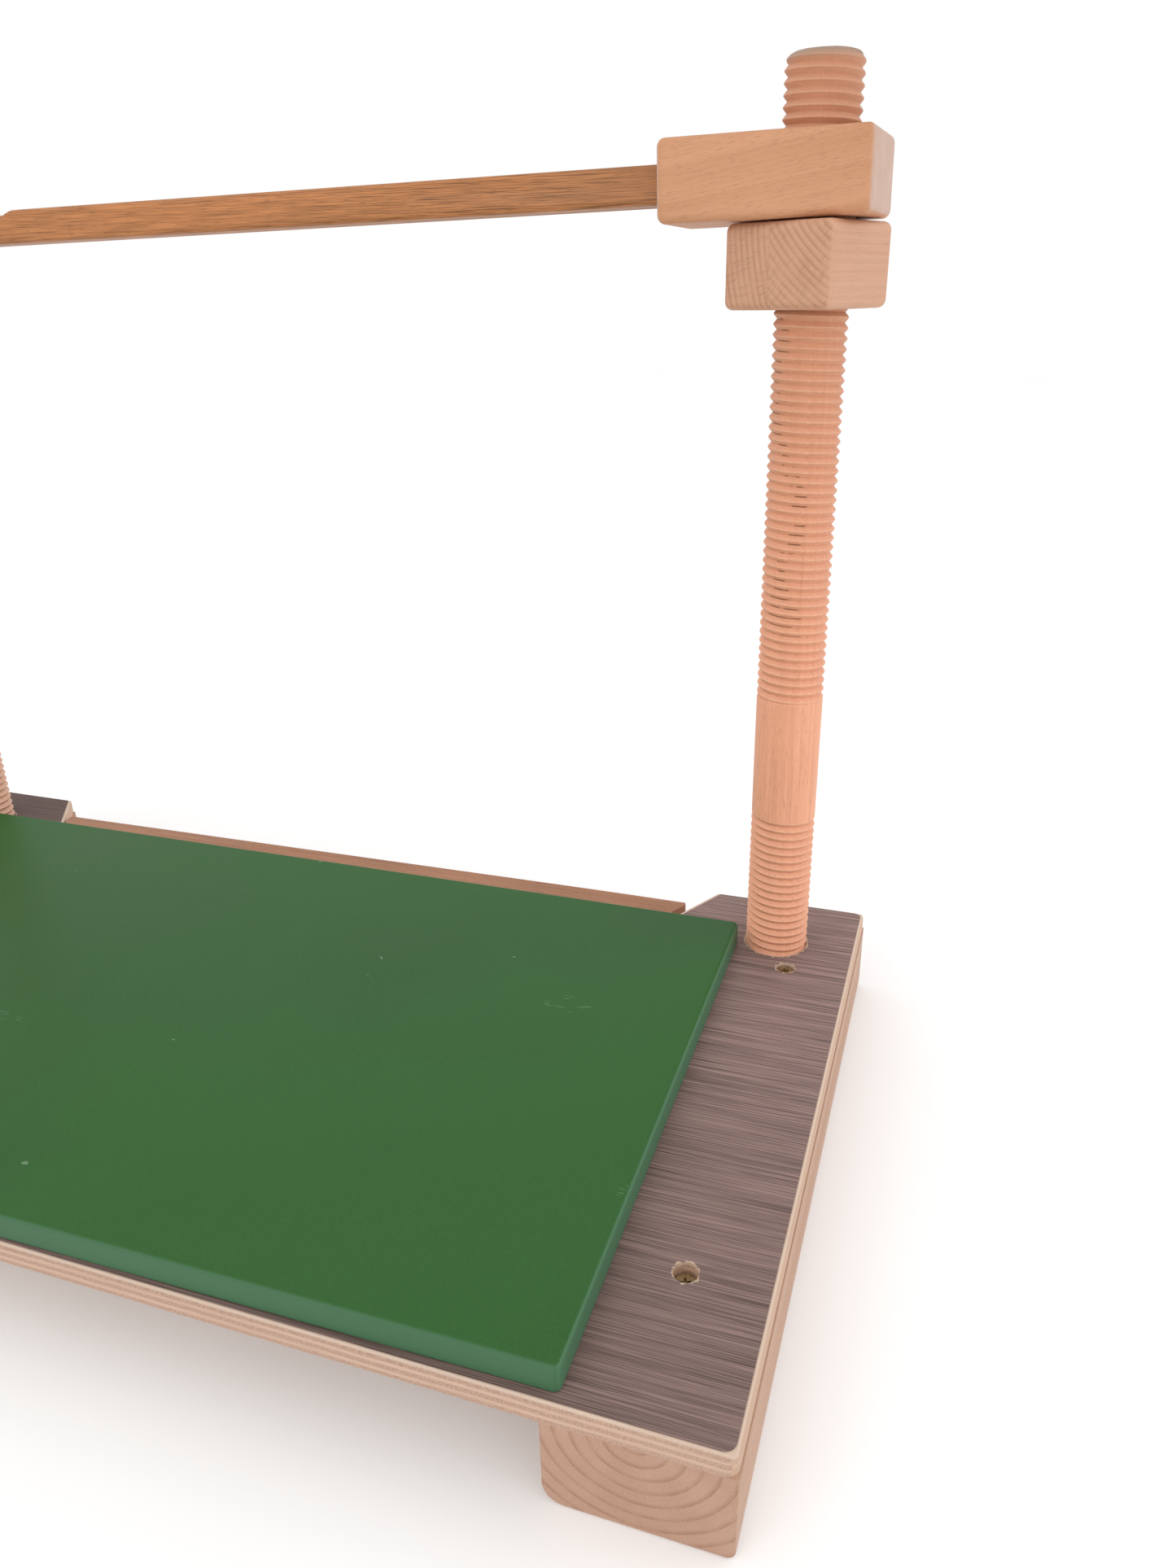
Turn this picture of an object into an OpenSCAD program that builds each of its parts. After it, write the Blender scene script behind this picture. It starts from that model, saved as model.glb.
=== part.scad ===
// Bookbinder's sewing frame: a plywood base on two beech feet, two threaded posts, and a
// crossbar that rides up and down on two square wooden nuts.

/* [Base] */
// Width of the plywood base, left to right
base_w = 613; // [500:1:760]
// Depth of the base, front to back
base_d = 340; // [280:1:420]
// Thickness of the plywood
ply_t = 8.6; // [7.5:0.1:15]
// Thickness of the printed film on the plywood
film_t = 0.4; // [0.3:0.1:1]
// How far the film stops short of the plywood's sides
film_inset = 1.6; // [1:0.1:3]
// Corner radius of the base in plan
base_corner_r = 4; // [2:0.5:12]

/* [Notch and slot strip] */
// Width of the ear that carries the right post, at the back edge
ear_right_w = 81.5; // [70:0.5:95]
// Width of the ear that carries the left post, at the back edge
ear_left_w = 71; // [66:0.5:95]
// Depth of the notch from the back edge
notch_d = 48; // [40:1:56]
// Slant of the notch's right side, in degrees
flare_right = 28; // [15:1:35]
// Slant of the notch's left side, in degrees
flare_left = 34; // [15:1:35]
// Width of the cord slot between the notch and the strip
slot_w = 7; // [5:0.5:10]
// Front-to-back width of the strip at its right end
strip_w_right = 27; // [18:0.5:28]
// Front-to-back width of the strip at its left end
strip_w_left = 21; // [18:0.5:28]
// Thickness of the strip
strip_t = 9; // [8:0.5:16]
// How far the strip's top lies below the film
strip_drop = 1.5; // [0.5:0.1:2]
// Gap between the strip and the notch's right side
strip_gap_right = 7; // [2:0.5:10]
// Gap between the strip and the notch's left side
strip_gap_left = 2; // [1:0.5:10]
// Diameter of the strip's two dowels
dowel_d = 4; // [3:0.5:5]
// Length of dowel inside the plywood
dowel_seat = 28; // [18:1:32]
// Length of dowel inside the strip
dowel_in_strip = 12; // [8:0.5:13]
// Distance of the dowels from the strip's ends
dowel_from_end = 60; // [30:1:120]

/* [Feet] */
// Wall left between a post's hole and the foot's inner face
foot_wall = 6.6; // [4:0.1:20]
// The same wall in the left foot, which shows past the notch's corner
left_foot_wall = 15.6; // [4:0.1:24]
// Height of each foot batten
foot_h = 37; // [28:0.5:50]
// How far each foot stands out beyond the plywood's side
foot_proud = 1.3; // [0:0.1:4]
// Radius of the foot's inner bottom edge
foot_inner_r = 8; // [4:0.5:12]

/* [Posts] */
// Distance from each post's axis to the plywood's side
post_side = 41.5; // [36:0.5:60]
// Distance from the post axis to the back edge of the base
post_back = 43; // [40:0.5:48]
// Diameter over the thread crests, and of the plain shank
post_d = 31.75; // [26:0.25:38.25]
// Height of the post above the base
post_rise = 404.5; // [385:0.5:480]
// Depth to which the post is screwed into the foot
post_sink = 30; // [20:1:34]
// Threads per inch
threads_per_inch = 6; // [5:1:8]
// Depth of the thread
thread_depth = 1.5; // [1:0.1:1.8]
// Top of the short lower thread, above the base
low_thread_top = 76; // [50:1:90]
// Bottom of the long upper thread, above the base
shank_top = 137; // [110:1:150]

/* [Crossbar and arms] */
// Height of the crossbar's section
bar_h = 15.5; // [12:0.5:20]
// Front-to-back thickness of the crossbar
bar_t = 22; // [16:0.5:28]
// Depth to which the crossbar is let into each arm
bar_seat = 25; // [15:1:38]
// Length of the arm from the post axis towards the middle
arm_in = 62.3; // [56:0.5:80]
// Length of the arm from the post axis outwards
arm_out = 24.4; // [22:0.2:32]
// Front-to-back width of the arm
arm_w = 51; // [46:0.5:60]
// Height of the arm
arm_h = 31.5; // [26:0.5:38]
// How far the arm's outer end is out of square, in degrees
end_skew = 3.5; // [0:0.5:5]
// Distance from the left post's axis to the dip in the crossbar's top
dip_at = 98; // [80:1:200]
// Length of the dip
dip_l = 28; // [20:1:60]
// Depth of the dip
dip_h = 3; // [1:0.5:5]
// How far the right arm's middle lies below the top of the post
arm_drop = 43.6; // [36:0.1:140]
// Turns by which the left nut stands lower than the right one
slant_turns = 2; // [0:0.5:2]
// Radial play of the post in the arm's hole
arm_play = 0.8; // [0.6:0.1:1.4]

/* [Nuts] */
// Side of the square nut
nut_w = 51; // [46:0.5:58]
// Height of the nut
nut_h = 33.4; // [26:0.2:40]
// How far the nut's hole is off its middle
nut_offset = 3.1; // [0:0.1:4]
// Distance from the hole's axis to the glue line between the nut's two pieces
glue_line = 6.2; // [2:0.1:10]
// Radial play of the post in the nut
nut_play = 0.3; // [0.2:0.05:0.6]
// Gap between the nut and the arm that it carries
nut_gap = 0.2; // [0.1:0.05:0.5]
// Rotation of the right nut at rest, in degrees
nut_right_turn = -22; // [-45:1:45]
// Rotation of the left nut at rest, in degrees
nut_left_turn = 14; // [-45:1:45]

/* [Sewing board] */
// Gap between each end of the board and the post beside it
board_gap = 3.2; // [2:0.1:8]
// Distance from the base's front edge to the board's front edge, at its right end
board_front = 4.3; // [2:0.1:60]
// Thickness of the board
board_t = 12; // [9:0.5:19]
// Distance from the post axes to the board's back edge, at its right end
board_back = 6.2; // [5:0.1:15]
// How far the board lies turned on the base, in degrees
board_turn = 0.5; // [0:0.05:0.5]

/* [Screws] */
// Diameter of the screw head
head_d = 8; // [6:0.5:9]
// Diameter of the screw shank
shank_d = 4; // [3:0.5:5]
// Length of the screw
screw_l = 34; // [25:1:40]
// How far the rear screws are sunk below the film
sink_rear = 1.8; // [1:0.1:3]
// How far the front screws are sunk below the film
sink_front = 4.6; // [2:0.1:5]
// Distance of the screws from the post axis, towards the base's end
screw_out = 9.2; // [-10:0.1:15]
// Distance of the rear screws in front of the post axis
screw_rear = 25.2; // [24:0.2:40]
// Distance of the front screws from the base's front edge
screw_front = 64; // [20:1:120]

/* [Hidden] */

$fn = 96;
eps = 0.01;
film_fit = 0.15;       // radial gap between a post and its hole in the base
screw_fit = 0.1;       // radial gap round a screw's shank
counterbore_d = 9.4;   // hole in which a screw head is sunk
bar_fit = 0.05;        // gap round the crossbar's end in its arm
dowel_fit = 0.02;      // radial gap round a dowel in the strip
bar_end_gap = 0.2;     // gap behind the crossbar's end
recess_w = 1.1;        // width of the head's cross recess
arris_r = 3;           // eased edges of arms and nuts
board_arris_r = 1.8;   // eased edges of the sewing board
bar_arris_r = 3;       // eased edges of the crossbar
strip_arris_r = 1;     // eased edges of the slot strip
foot_arris_r = 2.2;    // eased outer bottom edge of a foot
ply_arris = 1.2;       // bevel round the plywood's top edge
dip_r = 9;             // rounding of the dip's two ends
arc_steps = 6;         // flats in a rounded corner

pitch = 25.4 / threads_per_inch;
post_r = post_d / 2;
post_x = base_w / 2 - post_side;
post_span = 2 * post_x;
post_y = base_d / 2 - post_back;
function foot_w(side) = post_side + foot_proud + post_r + film_fit + (side < 0 ? left_foot_wall : foot_wall);
base_top = foot_h + ply_t + film_t;
ply_z = foot_h + ply_t / 2;
front_y = -base_d / 2;
back_y = base_d / 2;
notch_y = back_y - notch_d;

// The crossbar's slope comes from the difference in height between the two nuts.
slant = atan(slant_turns * pitch / post_span);
arm_axis_z = base_top + post_rise - arm_drop;
arm_end = arm_out + arm_w * tan(end_skew);
arm_bore_r = post_r + arm_play + arm_h / 2 * tan(slant);
nut_reach = norm([nut_w / 2 + nut_offset, nut_w / 2]);
function arm_under(x) = arm_axis_z - arm_h / 2 / cos(slant) - (post_x - x) * tan(slant);
nut_right_z = arm_under(post_x - nut_reach) - nut_gap - nut_h;
nut_left_z = arm_under(-post_x - min(nut_reach, arm_end)) - nut_gap - nut_h;

// Sides of the notch at a distance d in front of the back edge
function notch_right(d) = base_w / 2 - ear_right_w - d * tan(flare_right);
function notch_left(d) = -base_w / 2 + ear_left_w + d * tan(flare_left);

// Corner a-b-c of a convex outline, listed anticlockwise, rounded to radius r
function corner(a, b, c, r) =
    let (u = (a - b) / norm(a - b), v = (c - b) / norm(c - b),
         half = acos(u * v) / 2,
         centre = b + (u + v) / norm(u + v) * r / sin(half),
         start = atan2(-u[0], u[1]) + 180,
         sweep = 180 - 2 * half)
    r <= 0 ? [b] : [for (i = [0:arc_steps]) let (t = start + sweep * i / arc_steps)
                    centre + r * [cos(t), sin(t)]];

// Outline with corner radii rs, one for each point
function rounded(pts, rs) =
    let (n = len(pts))
    [for (i = [0:n - 1]) each corner(pts[(i + n - 1) % n], pts[i], pts[(i + 1) % n], rs[i])];

function box_outline(x0, x1, y0, y1) = [[x0, y0], [x1, y0], [x1, y1], [x0, y1]];

// Solid whose plan, front and side outlines are all given, so that every edge is eased
module eased_solid(plan, front, side, size) {
    intersection() {
        translate([0, 0, -size]) linear_extrude(2 * size) polygon(plan);
        translate([0, size, 0]) rotate([90, 0, 0]) linear_extrude(2 * size) polygon(front);
        translate([-size, 0, 0]) rotate([90, 0, 90]) linear_extrude(2 * size) polygon(side);
    }
}

module eased_box(x0, x1, y0, y1, z0, z1, r) {
    rs = [r, r, r, r];
    eased_solid(rounded(box_outline(x0, x1, y0, y1), rs), rounded(box_outline(x0, x1, z0, z1), rs),
                rounded(box_outline(y0, y1, z0, z1), rs), 2 * (x1 - x0 + y1 - y0 + z1 - z0));
}

// Places things at both posts; side is 1 at the right and -1 at the left
module at_post(side) {
    translate([side * post_x, post_y, 0]) children();
}

// Screw positions on one side, with the depth of the head below the film
function screw_spots(side) = [[side * (post_x + screw_out), post_y - screw_rear, sink_rear],
                              [side * (post_x + screw_out), front_y + screw_front, sink_front]];

// ---- Base ----

// Plan of the base, drawn in by i on every side
module base_plan(i) {
    difference() {
        polygon(rounded(box_outline(-base_w / 2 + i, base_w / 2 - i, front_y + i, back_y - i),
                        [for (k = [1:4]) base_corner_r]));
        polygon([[notch_left(notch_d + i) - i / cos(flare_left), notch_y - i],
                 [notch_right(notch_d + i) + i / cos(flare_right), notch_y - i],
                 [notch_right(-i) + i / cos(flare_right), back_y + i],
                 [notch_left(-i) - i / cos(flare_left), back_y + i]]);
    }
}

// Bevel cut along a top edge that runs through p at the angle a, with the sheet on its left
module top_bevel(p, a, length) {
    translate([p[0], p[1], foot_h + ply_t]) rotate([0, 0, a]) rotate([45, 0, 0])
        translate([-eps, -ply_arris / sqrt(2), -ply_arris / sqrt(2)])
            cube([length + 2 * eps, sqrt(2) * ply_arris, sqrt(2) * ply_arris]);
}

module base_board() {
    color("burlywood") difference() {
        translate([0, 0, foot_h]) linear_extrude(ply_t) base_plan(0);
        top_bevel([-base_w / 2, front_y], 0, base_w);
        top_bevel([-base_w / 2, back_y], 0, base_w);
        top_bevel([-base_w / 2, front_y], 90, base_d);
        top_bevel([base_w / 2, front_y], 90, base_d);
        for (side = [-1, 1]) {
            at_post(side) translate([0, 0, foot_h - 1]) cylinder(r = post_r + film_fit, h = ply_t + 2);
            for (s = screw_spots(side)) translate([s[0], s[1], 0]) {
                translate([0, 0, foot_h - 1]) cylinder(d = shank_d + 2 * screw_fit, h = ply_t + 2);
                translate([0, 0, base_top - s[2] - head_d / 4 - screw_fit])
                    cylinder(d = counterbore_d, h = ply_t);
            }
        }
        for (x = dowel_xs) translate([x, notch_y + 1, ply_z])
            rotate([90, 0, 0]) cylinder(d = dowel_d + 2 * screw_fit, h = dowel_seat + 3, $fn = 32);
    }
}

module base_film() {
    color("rosybrown") difference() {
        translate([0, 0, foot_h + ply_t]) linear_extrude(film_t) base_plan(film_inset);
        for (side = [-1, 1]) {
            at_post(side) cylinder(r = post_r + film_fit, h = base_top + 1);
            for (s = screw_spots(side)) translate([s[0], s[1], 0])
                cylinder(d = counterbore_d, h = base_top + 1);
        }
    }
}

// Foot batten with its outer face at x = 0 and its width towards -x
module foot(w) {
    rotate([90, 0, 0]) linear_extrude(base_d, center = true)
        polygon(rounded(box_outline(-w, 0, 0, foot_h), [foot_inner_r, foot_arris_r, 0.6, 0.6]));
}

module foot_at(side) {
    difference() {
        translate([side * (base_w / 2 + foot_proud), 0, 0]) mirror([side < 0 ? 1 : 0, 0, 0]) foot(foot_w(side));
        at_post(side) translate([0, 0, foot_h - post_sink - 1])
            cylinder(r = post_r + film_fit, h = post_sink + 2);
        for (s = screw_spots(side)) translate([s[0], s[1], base_top - s[2] - screw_l - 1])
            cylinder(d = shank_d + 2 * screw_fit, h = screw_l + ply_t);
    }
}

module foot_left() { color("tan") foot_at(-1); }
module foot_right() { color("tan") foot_at(1); }

// Countersunk screw with a cross recess, its head's top at z = 0
module screw() {
    difference() {
        union() {
            translate([0, 0, -head_d / 4]) cylinder(d1 = shank_d, d2 = head_d, h = head_d / 4, $fn = 48);
            translate([0, 0, -screw_l]) cylinder(d = shank_d, h = screw_l - head_d / 8, $fn = 48);
        }
        for (a = [0, 90]) rotate([0, 0, a + 20])
            translate([-head_d / 4, -recess_w / 2, -head_d / 6]) cube([head_d / 2, recess_w, head_d]);
    }
}

module screws(side) {
    for (s = screw_spots(side)) translate([s[0], s[1], base_top - s[2]]) screw();
}

module screws_left() { color("darkkhaki") screws(-1); }
module screws_right() { color("darkkhaki") screws(1); }

// ---- Posts ----

// Outline points of a thread from z0 upwards: flat crests with V grooves between them
function thread_points(z0, turns) =
    let (crest = pitch / 8)
    [for (i = [0:turns - 1]) let (z = z0 + i * pitch)
        each [[post_r, z + crest], [post_r - thread_depth, z + pitch / 2], [post_r, z + pitch - crest]]];

// Post with its axis on z, from the bottom of its hole to the domed top
module post() {
    bottom = foot_h - post_sink;
    low_turns = floor((base_top + low_thread_top - bottom - 2) / pitch);
    high_start = base_top + shank_top;
    dome = 4;
    high_turns = floor((post_rise - shank_top - dome) / pitch);
    top = base_top + post_rise;
    rotate_extrude() polygon(concat(
        [[0, bottom], [post_r - 2, bottom], [post_r, bottom + 2]],
        thread_points(bottom + 2, low_turns),
        thread_points(high_start, high_turns),
        [for (i = [0:arc_steps]) let (t = 90 * i / arc_steps)
            [post_r - dome + dome * cos(t), top - dome + dome * sin(t)]],
        [[0, top]]));
}

module post_left() { color("peru") at_post(-1) post(); }
module post_right() { color("peru") at_post(1) post(); }

// ---- Crossbar and arms, drawn level with the right post axis at the origin, then slanted ----

module slanted() {
    translate([post_x, post_y, arm_axis_z]) rotate([0, -slant, 0]) children();
}

bar_span = post_span / cos(slant);

// Arm with its bore on z; the crossbar comes in at its -x end
module arm() {
    rs = [for (i = [1:4]) arris_r];
    plan = rounded([[-arm_in, -arm_w / 2], [arm_out, -arm_w / 2], [arm_end, arm_w / 2],
                    [-arm_in, arm_w / 2]], rs);
    difference() {
        eased_solid(plan, rounded(box_outline(-arm_in, arm_end, -arm_h / 2, arm_h / 2), rs),
                    rounded(box_outline(-arm_w / 2, arm_w / 2, -arm_h / 2, arm_h / 2), rs), 200);
        cylinder(r = arm_bore_r, h = 2 * arm_h, center = true);
        translate([-arm_in - 1, 0, 0]) rotate([90, 0, 90]) linear_extrude(bar_seat + 1)
            bar_section(bar_fit);
    }
}

// Section of the crossbar, grown by g, with x to the back and y up
module bar_section(g) {
    polygon(rounded(box_outline(-bar_t / 2 - g, bar_t / 2 + g, -bar_h / 2 - g, bar_h / 2 + g),
                    [for (i = [1:4]) bar_arris_r]));
}

// Side view of the dip, with x = 0 at its left end and y = 0 on the crossbar's top
module dip_outline() {
    run = sqrt(dip_r * dip_r - pow(dip_r - dip_h, 2));
    span = acos((dip_r - dip_h) / dip_r);
    rise = [for (i = [0:arc_steps]) let (t = span * i / arc_steps) [dip_r * sin(t), dip_r * (cos(t) - 1)]];
    polygon(concat([[0, 1]], rise, [[dip_l - run, -dip_h]],
                   [for (i = [arc_steps:-1:0]) [dip_l - rise[i][0], rise[i][1]]], [[dip_l, 1]]));
}

module crossbar() {
    color("sienna") slanted() translate([-bar_span, 0, 0]) difference() {
        translate([arm_in - bar_seat + bar_end_gap, 0, 0]) rotate([90, 0, 90])
            linear_extrude(bar_span - 2 * (arm_in - bar_seat + bar_end_gap)) bar_section(0);
        translate([dip_at, bar_t, bar_h / 2]) rotate([90, 0, 0])
            linear_extrude(2 * bar_t) dip_outline();
    }
}

module arm_right() { color("sandybrown") slanted() arm(); }
module arm_left() { color("sandybrown") slanted() translate([-bar_span, 0, 0]) mirror([1, 0, 0]) arm(); }

// ---- Nuts ----

// One glued piece of a nut, from x0 to x1, with the hole's axis on z
module nut_piece(x0, x1) {
    intersection() {
        difference() {
            eased_box(-nut_w / 2 - nut_offset, nut_w / 2 - nut_offset, -nut_w / 2, nut_w / 2,
                      0, nut_h, arris_r);
            translate([0, 0, -1]) cylinder(r = post_r + nut_play, h = nut_h + 2);
        }
        translate([x0, -nut_w, -1]) cube([x1 - x0, 2 * nut_w, nut_h + 2]);
    }
}

module nut_narrow() { nut_piece(-nut_w, -glue_line); }
module nut_wide() { nut_piece(-glue_line, nut_w); }
module at_left_nut() { at_post(-1) translate([0, 0, nut_left_z]) rotate([0, 0, nut_left_turn]) children(); }
module at_right_nut() { at_post(1) translate([0, 0, nut_right_z]) rotate([0, 0, nut_right_turn]) children(); }

module nut_left_narrow() { color("tan") at_left_nut() nut_narrow(); }
module nut_left_wide() { color("burlywood") at_left_nut() nut_wide(); }
module nut_right_narrow() { color("tan") at_right_nut() nut_narrow(); }
module nut_right_wide() { color("burlywood") at_right_nut() nut_wide(); }

// ---- Sewing board ----

board_l = post_span - 2 * post_r - 2 * board_gap;
board_d = (post_y - board_back) - (front_y + board_front);

module sewing_board() {
    color("darkgreen") translate([board_l / 2, post_y - board_back, base_top])
        rotate([0, 0, board_turn])
            eased_box(-board_l, 0, -board_d, 0, 0, board_t, board_arris_r);
}

// ---- Slot strip ----

strip_front = notch_d - slot_w;                    // distance of the strip's front edge from the back edge
strip_back_right = strip_front - strip_w_right;
strip_back_left = strip_front - strip_w_left;
dowel_xs = [notch_left(notch_d) + dowel_from_end, notch_right(notch_d) - dowel_from_end];
strip_z = base_top - strip_drop - strip_t;

module slot_strip() {
    plan = rounded([[notch_left(strip_front) + strip_gap_left, back_y - strip_front],
                    [notch_right(strip_front) - strip_gap_right, back_y - strip_front],
                    [notch_right(strip_back_right) - strip_gap_right, back_y - strip_back_right],
                    [notch_left(strip_back_left) + strip_gap_left, back_y - strip_back_left]],
                   [1.5, 1.5, 2.5, 2.5]);
    rs = [for (i = [1:4]) strip_arris_r];
    color("chocolate") difference() {
        eased_solid(plan,
                    rounded(box_outline(-base_w / 2, base_w / 2, strip_z, strip_z + strip_t), rs),
                    rounded(box_outline(back_y - strip_front, back_y - strip_back_right,
                                        strip_z, strip_z + strip_t), rs), base_w);
        for (x = dowel_xs) translate([x, notch_y - 1, ply_z])
            rotate([-90, 0, 0])
                cylinder(d = dowel_d + 2 * dowel_fit, h = slot_w + dowel_in_strip + 1.5, $fn = 32);
    }
}

module strip_dowels() {
    color("wheat") for (x = dowel_xs) translate([x, notch_y - dowel_seat, ply_z])
        rotate([-90, 0, 0]) cylinder(d = dowel_d, h = dowel_seat + slot_w + dowel_in_strip, $fn = 32);
}

foot_left();
foot_right();
base_board();
base_film();
post_left();
post_right();
screws_left();
screws_right();
arm_left();
arm_right();
crossbar();
nut_left_narrow();
nut_left_wide();
nut_right_narrow();
nut_right_wide();
sewing_board();
slot_strip();
strip_dowels();
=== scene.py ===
from math import atan2, cos, hypot, pi, radians, sin

import bmesh
import bpy
from mathutils import Euler, Matrix, Vector


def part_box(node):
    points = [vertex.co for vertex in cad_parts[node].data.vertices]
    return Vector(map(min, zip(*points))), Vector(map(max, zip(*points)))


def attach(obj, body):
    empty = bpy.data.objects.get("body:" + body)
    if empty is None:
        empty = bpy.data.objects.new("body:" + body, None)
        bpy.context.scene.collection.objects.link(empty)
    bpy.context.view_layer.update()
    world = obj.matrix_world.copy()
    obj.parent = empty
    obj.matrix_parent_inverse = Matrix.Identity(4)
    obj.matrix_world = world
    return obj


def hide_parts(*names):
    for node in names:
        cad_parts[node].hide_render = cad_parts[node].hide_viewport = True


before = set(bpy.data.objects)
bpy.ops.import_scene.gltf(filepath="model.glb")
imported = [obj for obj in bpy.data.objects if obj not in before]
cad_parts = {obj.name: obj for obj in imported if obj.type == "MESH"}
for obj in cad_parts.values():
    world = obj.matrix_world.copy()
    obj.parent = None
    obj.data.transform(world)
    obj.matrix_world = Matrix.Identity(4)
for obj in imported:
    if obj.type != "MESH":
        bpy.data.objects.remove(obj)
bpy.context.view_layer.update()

bl_info = {
    "name": "Sewing frame",
    "version": (1, 0, 0),
    "blender": (4, 5, 0),
    "location": "3D View > Sidebar > Sewing frame",
    "description": "Models a bookbinder's sewing frame over its CAD frame, piece by piece",
    "category": "Mesh",
}

# ---- Places that come from the CAD frame ----

MM = 0.001


def middle(node):
    """Centre of a CAD node's box."""
    low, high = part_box(node)
    return (low + high) / 2


def shared_box(*nodes):
    """Box round several CAD nodes."""
    lows = [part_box(n)[0] for n in nodes]
    highs = [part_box(n)[1] for n in nodes]
    return (Vector([min(v[i] for v in lows) for i in range(3)]),
            Vector([max(v[i] for v in highs) for i in range(3)]))


POST = {"right": middle("post_right"), "left": middle("post_left")}
POST_R = (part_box("post_right")[1].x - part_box("post_right")[0].x) / 2
POST_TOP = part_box("post_right")[1].z
BASE_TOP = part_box("base_film")[1].z
ARM_RISE = middle("arm_right").z - middle("arm_left").z
SLANT = atan2(ARM_RISE, middle("arm_right").x - middle("arm_left").x)


# ---- Sizes that are not in the sidebar ----

POST_SIDES = 72                 # flats round a post and round the holes it goes through
ARM_HALF_HEIGHT = 15.75 * MM
ARM_INNER_REACH = 62.3 * MM     # from the post's middle to the end that holds the crossbar
ARM_OUTER_REACH = 24.4 * MM
ARM_SKEW = 3.12 * MM            # the back of the outer end stands out by this much
ARM_ROOM = 1.05 * MM            # room round the post in an arm's hole
ARM_DRILL = 60 * MM             # length of the rod that cuts that hole
NUT_ROOM = 0.3 * MM
FOOT_ROOM = 0.2 * MM
FOOT_PROUD = 0.8 * MM           # a CAD foot stands out past the base, a real one is flush
GLUE_GAP = 0.03 * MM            # half the gap between a nut's two pieces
BAR_HALF_HEIGHT = 7.75 * MM
BAR_END = 37.5 * MM             # from a post's middle to the crossbar's end
BAR_ROUNDING = 3 * MM
DIP_FROM_POST = 112 * MM        # from the left post to the middle of the dip in the crossbar
DIP_DEPTH = 3 * MM
DIP_STEP = 2.5 * MM
BOARD_CORNER = (245.925 * MM, 120.8 * MM)   # the sewing board's right back corner
BOARD_LENGTH = 491.85 * MM
BOARD_DEPTH = 286.5 * MM
BOARD_OUT_OF_SQUARE = 2.4 * MM
BOARD_CORNERS, BOARD_UNDER_EDGES = 2.6 * MM, 0.8 * MM           # roundings
FOOT_INNER_EDGE, FOOT_OUTER_EDGE, FOOT_ENDS = 8 * MM, 3.4 * MM, 0.9 * MM    # roundings
POST_UNDER_GAP = 0.15 * MM
THREAD_RUN_OUT = 1.4 * MM
SAME = 1e-5                     # places closer than this are the same

GREY_BEECH, GREY_BEECH_DARK = (0.72, 0.43, 0.3), (0.52, 0.28, 0.18)     # the left post

CAMERA_PLACE = (0.34302, -0.40254, 0.3651)
CAMERA_YAW, CAMERA_PITCH, CAMERA_ROLL = 0.3317330, 0.4063993, -0.0176377
CAMERA_LENS = 26.236            # for a frame 36 high
LAMPS = (                       # name, place, size, power, colour
    ("key", (-0.5, -1.9, 1.2), 1.6, 9, (1, 0.98, 0.95)),
    ("side", (1.9, 0.4, 1.0), 1.4, 5, (0.95, 0.97, 1)),
)


# ---- Settings shown in the sidebar ----

def size_setting(name, description, value, low=0.0, high=1.0):
    """A length in metres."""
    return bpy.props.FloatProperty(name=name, description=description, default=value, min=low, max=high,
                                   subtype="DISTANCE", unit="LENGTH", precision=5)


def colour_setting(name, description, rgb):
    """A colour, given as linear red, green and blue."""
    return bpy.props.FloatVectorProperty(name=name, description=description, default=rgb, size=3,
                                         min=0.0, max=1.0, subtype="COLOR")


def angle_setting(name, description, degrees):
    """An angle in radians, given in degrees."""
    return bpy.props.FloatProperty(name=name, description=description, default=radians(degrees),
                                   subtype="ANGLE", unit="ROTATION")


class SewingFrameSizes(bpy.types.PropertyGroup):
    """Sizes of the modelled details."""

    thread_pitch: size_setting("Thread pitch", "Rise of the wooden thread in one turn", 25.4 * MM / 6)
    thread_depth: size_setting("Thread depth", "Depth of the thread from crest to root", 1.5 * MM)
    long_thread_start: size_setting("Long thread start", "Bottom of the long thread above the base",
                                    137.2 * MM)
    short_thread_end: size_setting("Short thread end", "Top of the short thread above the base", 75.7 * MM)
    crest_at: size_setting("Crest height", "Height of a crest above the base on the post's +X side",
                           307.5 * MM)
    dome: size_setting("Post dome", "Rounding of the post's top edge", 4.5 * MM)
    arris: size_setting("Block arris", "Rounding of the edges of arms and nuts", 3.4 * MM)
    board_arris: size_setting("Board arris", "Rounding of the sewing board's edges", 2.2 * MM)
    nut_side: size_setting("Nut side", "Side of the square nuts", 51 * MM)
    nut_offset: size_setting("Nut offset", "Distance from a nut's middle to its hole", 3.1 * MM)
    glue_line: size_setting("Glue line", "Distance from a nut's hole axis to its glue line", 6.2 * MM)
    nut_right_turn: angle_setting("Right nut turn", "Turn of the right nut about its post", -22)
    nut_left_turn: angle_setting("Left nut turn", "Turn of the left nut about its post", 14)
    board_turn: angle_setting("Board turn", "Turn of the sewing board on the base", 0.5)


class SewingFrameColours(bpy.types.PropertyGroup):
    """Colours of the finishes."""

    beech: colour_setting("Beech", "Pale wood of the posts", (0.85, 0.405, 0.25))
    beech_dark: colour_setting("Beech, late wood", "Darker bands in the beech", (0.64, 0.285, 0.16))
    bar: colour_setting("Crossbar", "Hardwood of the crossbar", (0.54, 0.217, 0.077))
    film: colour_setting("Film", "Grey brown of the base's printed film", (0.255, 0.17, 0.152))
    board: colour_setting("Sewing board", "Green of the sewing board", (0.027, 0.1, 0.023))
    # painted sheen: the lighter green given to the sewing board's sides and ends
    board_edge_sheen: colour_setting("Board edges", "Lighter green of the board's edges", (0.068, 0.158, 0.088))
    strip: colour_setting("Strip", "Darker beech of the slot strip", (0.42, 0.2, 0.11))


# ---- Modelling helpers ----

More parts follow.
